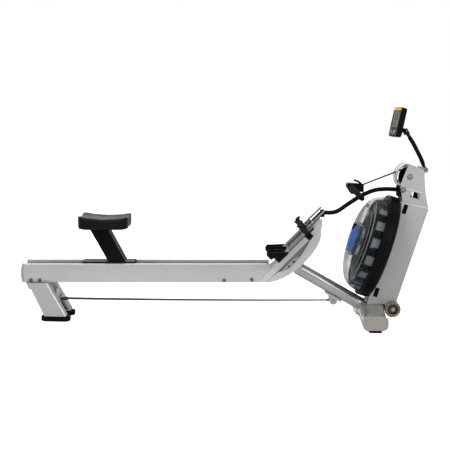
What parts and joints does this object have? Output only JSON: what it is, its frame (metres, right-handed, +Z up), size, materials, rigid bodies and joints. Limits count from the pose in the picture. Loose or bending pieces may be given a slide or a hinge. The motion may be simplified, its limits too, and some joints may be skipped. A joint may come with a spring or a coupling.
{
  "type": "water rowing machine",
  "caption": "Rowing machine with a sliding seat on twin rails, strapped footrests, pull handle on a rope, and a clear water tank on a leaning tower.",
  "frame": {"origin": "On the floor, below the middle of the machine's length and width.", "axes": "+X from the rower's rear end towards the tank, +Y across to the side away from the viewer, +Z up."},
  "size_m": [2.0568, 0.534, 1.1168],
  "materials": {
    "rail_silver": "smooth silver satin",
    "leg_grey": "satin grey powder coat",
    "tower_grey": "fine-textured grey powder coat",
    "cap_grey": "satin warm grey",
    "black_plastic": "satin black",
    "black_metal": "black powder coat",
    "black_vinyl": "soft black vinyl",
    "black_foam": "matte black foam",
    "black_rubber": "matte",
    "black_webbing": "woven webbing",
    "black_cord": "braided cover",
    "dial_blue": "satin blue",
    "tank_clear": "clear polished plastic",
    "water_tint": "still water",
    "steel": "brushed",
    "urethane": "translucent amber tyre",
    "board_grey": "satin grey",
    "button_amber": "satin",
    "screen_glass": "grey-green display window"
  },
  "bodies": {
    "frame": {"tank_back": "black_plastic", "tank_ring": "black_plastic", "tank_bowl": "tank_clear", "tank_baffle": "black_plastic", "water": "water_tint", "tower_plate_near": "tower_grey", "tower_plate_far": "tower_grey", "tower_rear_cover": "tower_grey", "tower_front_panel": "tower_grey", "arm_bracket": "steel", "foot_strap_near": "black_webbing", "foot_strap_far": "black_webbing", "rail_near": "rail_silver", "rail_far": "rail_silver", "rear_leg_near": "leg_grey", "rear_foot_near": "black_rubber", "rear_leg_far": "leg_grey", "rear_foot_far": "black_rubber", "rear_cross_plate": "leg_grey", "foot_ramp": "rail_silver", "bowed_beam_near": "rail_silver", "bowed_beam_far": "rail_silver", "front_strut": "rail_silver", "shock_cord": "black_cord", "front_foot_bar": "leg_grey", "foot_cap_near": "cap_grey", "front_foot_near": "black_rubber", "foot_cap_far": "cap_grey", "front_foot_far": "black_rubber", "nose_guard": "tower_grey", "drive_rope": "black_cord", "handle_rest": "black_metal", "rest_bracket": "black_metal", "pull_rope": "black_cord", "toe_bracket": "black_metal", "transport_axle": "steel"},
    "seat": {"seat_carriage": "black_metal", "seat_post": "black_metal", "seat_cushion": "black_vinyl"},
    "rollers_rear": {"seat_rollers_rear": "black_rubber"},
    "rollers_front": {"seat_rollers_front": "black_rubber"},
    "handle": {"handle_bar": "black_plastic", "handle_grip_near": "black_foam", "handle_grip_far": "black_foam"},
    "head_pulley": {"rope_pulley": "black_plastic"},
    "paddle": {"impeller": "steel"},
    "cord_wheel": {"cord_pulley": "black_plastic"},
    "dial": {"resistance_dial": "dial_blue", "dial_knob": "black_plastic"},
    "footrest_near": {"foot_board_near": "board_grey", "heel_cup_near": "black_plastic"},
    "footrest_far": {"foot_board_far": "board_grey", "heel_cup_far": "black_plastic"},
    "arm": {"console_arm": "black_metal"},
    "console": {"console_case": "black_plastic", "console_screen": "screen_glass"},
    "button_left": {"console_button_left": "button_amber"},
    "button_right": {"console_button_right": "button_amber"},
    "wheel_near": {"transport_wheel_near": "urethane"},
    "wheel_far": {"transport_wheel_far": "urethane"}
  },
  "joints": [
    {"name": "seat_slide", "type": "slide", "parent": "frame", "child": "seat", "axis": [0.9998, 0, 0.0209], "range_m": [-0.235, 0.66]},
    {"name": "rear_rollers_turn", "type": "hinge", "parent": "seat", "child": "rollers_rear", "pos_m": [-0.68768, 0, 0.25864], "axis": [0, 1, 0], "range_deg": [-700, 1920]},
    {"name": "front_rollers_turn", "type": "hinge", "parent": "seat", "child": "rollers_front", "pos_m": [-0.48772, 0, 0.26282], "axis": [0, 1, 0], "range_deg": [-700, 1920]},
    {"name": "handle_pull", "type": "slide", "parent": "frame", "child": "handle", "axis": [-0.9998, 0, -0.0209], "range_m": [0, 1.05], "stiffness_N_per_m": 20, "springref_m": -0.4, "deforming": ["pull_rope"]},
    {"name": "head_pulley_turn", "type": "hinge", "parent": "frame", "child": "head_pulley", "pos_m": [0.93108, 0, 0.76543], "axis": [0, -1, 0], "range_deg": [-5, 1310.2]},
    {"name": "paddle_turn", "type": "hinge", "parent": "frame", "child": "paddle", "pos_m": [0.81795, 0, 0.39712], "axis": [-0.9563, 0, 0.2924], "range_deg": [-5, 1230.8]},
    {"name": "cord_wheel_turn", "type": "hinge", "parent": "frame", "child": "cord_wheel", "pos_m": [-0.81739, 0, 0.10058], "axis": [-0.0209, 0, 0.9998], "continuous": true},
    {"name": "dial_turn", "type": "hinge", "parent": "frame", "child": "dial", "pos_m": [0.81795, 0, 0.39712], "axis": [-0.9563, 0, 0.2924], "range_deg": [0, 150]},
    {"name": "footrest_near_slide", "type": "slide", "parent": "frame", "child": "footrest_near", "axis": [0.6921, 0, 0.7218], "range_m": [-0.03, 0.03]},
    {"name": "footrest_far_slide", "type": "slide", "parent": "frame", "child": "footrest_far", "axis": [0.6921, 0, 0.7218], "range_m": [-0.03, 0.03]},
    {"name": "arm_tilt", "type": "hinge", "parent": "frame", "child": "arm", "pos_m": [1.01437, 0, 0.80219], "axis": [0, 1, 0], "range_deg": [-15, 15]},
    {"name": "console_tilt", "type": "hinge", "parent": "arm", "child": "console", "pos_m": [0.90624, 0, 0.99797], "axis": [-0.3255, 0.9455, -0.0068], "range_deg": [-25, 25]},
    {"name": "button_left_press", "type": "slide", "parent": "console", "child": "button_left", "axis": [0.9251, 0.317, -0.209], "range_m": [0, 0.002], "stiffness_N_per_m": 400, "springref_m": -0.001},
    {"name": "button_right_press", "type": "slide", "parent": "console", "child": "button_right", "axis": [0.9251, 0.317, -0.209], "range_m": [0, 0.002], "stiffness_N_per_m": 400, "springref_m": -0.001},
    {"name": "wheel_near_turn", "type": "hinge", "parent": "frame", "child": "wheel_near", "pos_m": [0.86206, -0.09, 0.0947], "axis": [0, 1, 0], "continuous": true},
    {"name": "wheel_far_turn", "type": "hinge", "parent": "frame", "child": "wheel_far", "pos_m": [0.86206, 0.09, 0.0947], "axis": [0, 1, 0], "continuous": true}
  ],
  "couplings": [
    {"joint": "rear_rollers_turn", "follows": "seat_slide", "rad_per_m": 50},
    {"joint": "front_rollers_turn", "follows": "seat_slide", "rad_per_m": 50},
    {"joint": "head_pulley_turn", "follows": "handle_pull", "rad_per_m": 21.645},
    {"joint": "paddle_turn", "follows": "handle_pull", "rad_per_m": 20.325}
  ]
}
